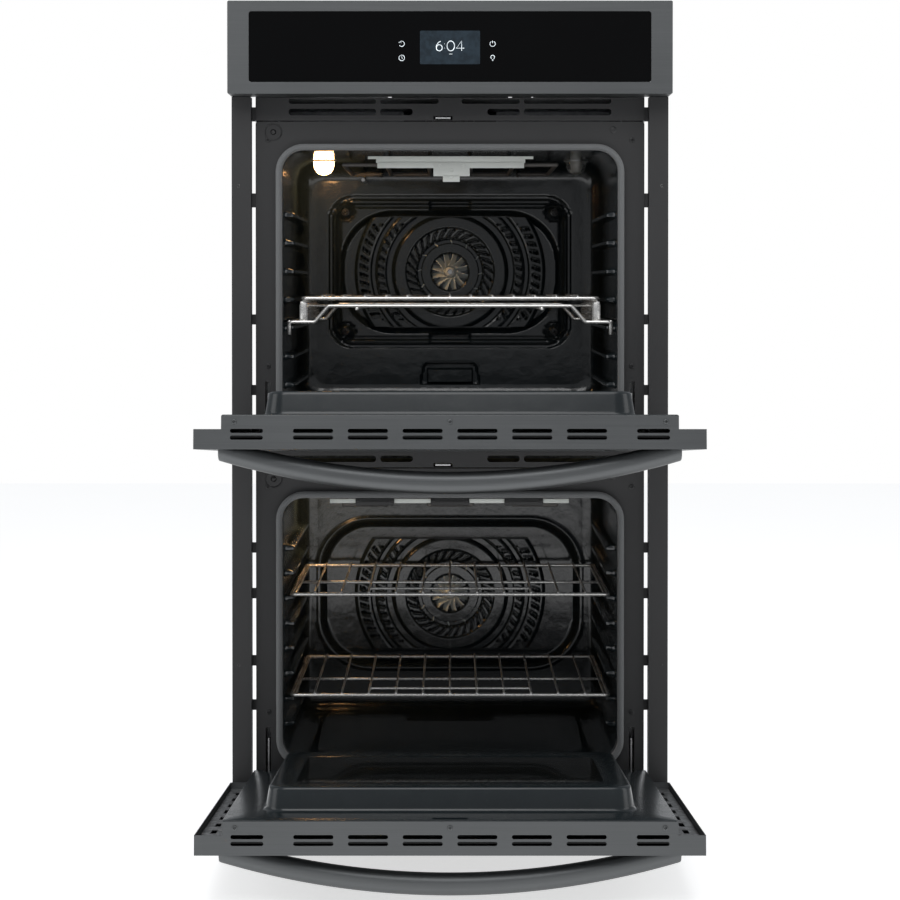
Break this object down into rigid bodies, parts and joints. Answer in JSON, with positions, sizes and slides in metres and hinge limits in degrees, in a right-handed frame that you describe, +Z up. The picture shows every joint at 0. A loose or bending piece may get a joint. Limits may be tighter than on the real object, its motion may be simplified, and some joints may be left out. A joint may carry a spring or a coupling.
{
  "type": "wall oven",
  "caption": "Built-in double wall oven with drop-down doors, bowed handles, sliding wire racks, convection fans and a touch control panel above.",
  "frame": {"origin": "centre of the chassis underside, on the cabinet shelf that carries the oven", "axes": "+Z up, +X to the right of someone facing the oven, -Y out of the front; doors drawn open, racks in"},
  "size_m": [0.686, 1.111, 1.283],
  "materials": {
    "galvanised": "zinc-coated sheet, faint spangle",
    "frame_enamel": "satin black enamel",
    "cavity_enamel": "glossy blue-black porcelain enamel",
    "liner_enamel": "glossy black porcelain enamel",
    "gasket": "woven grey seal",
    "mineral_wool": "mineral wool",
    "black_stainless": "black stainless, fine brushed, satin",
    "black_glass": "black printed glass, polished",
    "display": "dark display behind glass",
    "control_case": "plain steel box",
    "bright_steel": "plain bright steel",
    "heater": "oxidised heater sheath",
    "lamp_glass": "clear domed lens",
    "lamp_socket": "ceramic and steel socket",
    "dark_fitting": "dark satin fittings",
    "blower_plastic": "dark coated blower wheel",
    "window_glass": "tinted oven window glass",
    "rack_chrome": "bright nickel-chrome wire"
  },
  "bodies": {
    "chassis": {"base_pan": "galvanised", "left_side_panel": "galvanised", "right_side_panel": "galvanised", "back_panel": "galvanised", "top_cover": "galvanised", "upper_front_frame": "frame_enamel", "lower_front_frame": "frame_enamel", "upper_vent_panel": "frame_enamel", "lower_vent_panel": "frame_enamel", "upper_cavity": "cavity_enamel", "lower_cavity": "cavity_enamel", "door_gaskets": "gasket", "insulation": "mineral_wool", "left_side_trim": "frame_enamel", "right_side_trim": "frame_enamel", "bottom_trim": "frame_enamel", "control_bezel": "black_stainless", "control_glass": "black_glass", "touch_display": "display", "control_board": "control_case", "upper_fan_cover": "cavity_enamel", "lower_fan_cover": "cavity_enamel", "fan_motors": "bright_steel", "convection_elements": "heater", "broil_elements": "heater", "broil_brackets": "bright_steel", "bake_elements": "heater", "lamp_lenses": "lamp_glass", "lamp_sockets": "lamp_socket", "temperature_sensors": "bright_steel", "hinge_arms": "bright_steel", "hinge_receivers": "bright_steel", "blower_housing": "galvanised", "junction_box": "galvanised", "frame_fittings": "dark_fitting", "upper_rack_support": "rack_chrome"},
    "upper_door": {"upper_door_skin": "black_stainless", "upper_door_frame": "galvanised", "upper_door_liner": "liner_enamel", "upper_door_glass": "window_glass", "upper_handle": "black_stainless", "upper_door_hinges": "bright_steel", "upper_door_screws": "dark_fitting"},
    "lower_door": {"lower_door_skin": "black_stainless", "lower_door_frame": "galvanised", "lower_door_liner": "liner_enamel", "lower_door_glass": "window_glass", "lower_handle": "black_stainless", "lower_door_hinges": "bright_steel", "lower_door_screws": "dark_fitting"},
    "upper_rack": {"upper_glide_rack": "rack_chrome"},
    "top_rack": {"lower_rack_top": "rack_chrome"},
    "bottom_rack": {"lower_rack_bottom": "rack_chrome"},
    "upper_fan_wheel": {"upper_fan": "bright_steel"},
    "lower_fan_wheel": {"lower_fan": "bright_steel"},
    "cooling_wheel": {"blower_wheel": "blower_plastic"},
    "upper_latch_bolt": {"upper_latch": "bright_steel"},
    "lower_latch_bolt": {"lower_latch": "bright_steel"},
    "upper_switch_plunger": {"upper_switch": "dark_fitting"},
    "lower_switch_plunger": {"lower_switch": "dark_fitting"}
  },
  "joints": [
    {"name": "upper_door_hinge", "type": "hinge", "parent": "chassis", "child": "upper_door", "pos_m": [0, -0.3186, 0.6138], "axis": [1, 0, 0], "range_deg": [-85.6, 0]},
    {"name": "lower_door_hinge", "type": "hinge", "parent": "chassis", "child": "lower_door", "pos_m": [0, -0.3186, 0.0693], "axis": [1, 0, 0], "range_deg": [-85.6, 0]},
    {"name": "upper_rack_slide", "type": "slide", "parent": "chassis", "child": "upper_rack", "axis": [0, -1, 0], "range_m": [0, 0.25]},
    {"name": "top_rack_slide", "type": "slide", "parent": "chassis", "child": "top_rack", "axis": [0, -1, 0], "range_m": [0, 0.28]},
    {"name": "bottom_rack_slide", "type": "slide", "parent": "chassis", "child": "bottom_rack", "axis": [0, -1, 0], "range_m": [0, 0.28]},
    {"name": "upper_fan_spin", "type": "hinge", "parent": "chassis", "child": "upper_fan_wheel", "pos_m": [0, 0.167, 0.8681], "axis": [0, -1, 0], "continuous": true},
    {"name": "lower_fan_spin", "type": "hinge", "parent": "chassis", "child": "lower_fan_wheel", "pos_m": [0, 0.167, 0.302], "axis": [0, -1, 0], "continuous": true},
    {"name": "cooling_spin", "type": "hinge", "parent": "chassis", "child": "cooling_wheel", "pos_m": [0, 0.07, 1.12], "axis": [0, 0, 1], "continuous": true},
    {"name": "upper_latch_throw", "type": "slide", "parent": "chassis", "child": "upper_latch_bolt", "axis": [0, -1, 0], "range_m": [0, 0.028]},
    {"name": "lower_latch_throw", "type": "slide", "parent": "chassis", "child": "lower_latch_bolt", "axis": [0, -1, 0], "range_m": [0, 0.028]},
    {"name": "upper_switch_press", "type": "slide", "parent": "chassis", "child": "upper_switch_plunger", "axis": [0, -1, 0], "range_m": [-0.003, 0], "stiffness_N_per_m": 200},
    {"name": "lower_switch_press", "type": "slide", "parent": "chassis", "child": "lower_switch_plunger", "axis": [0, -1, 0], "range_m": [-0.003, 0], "stiffness_N_per_m": 200}
  ]
}
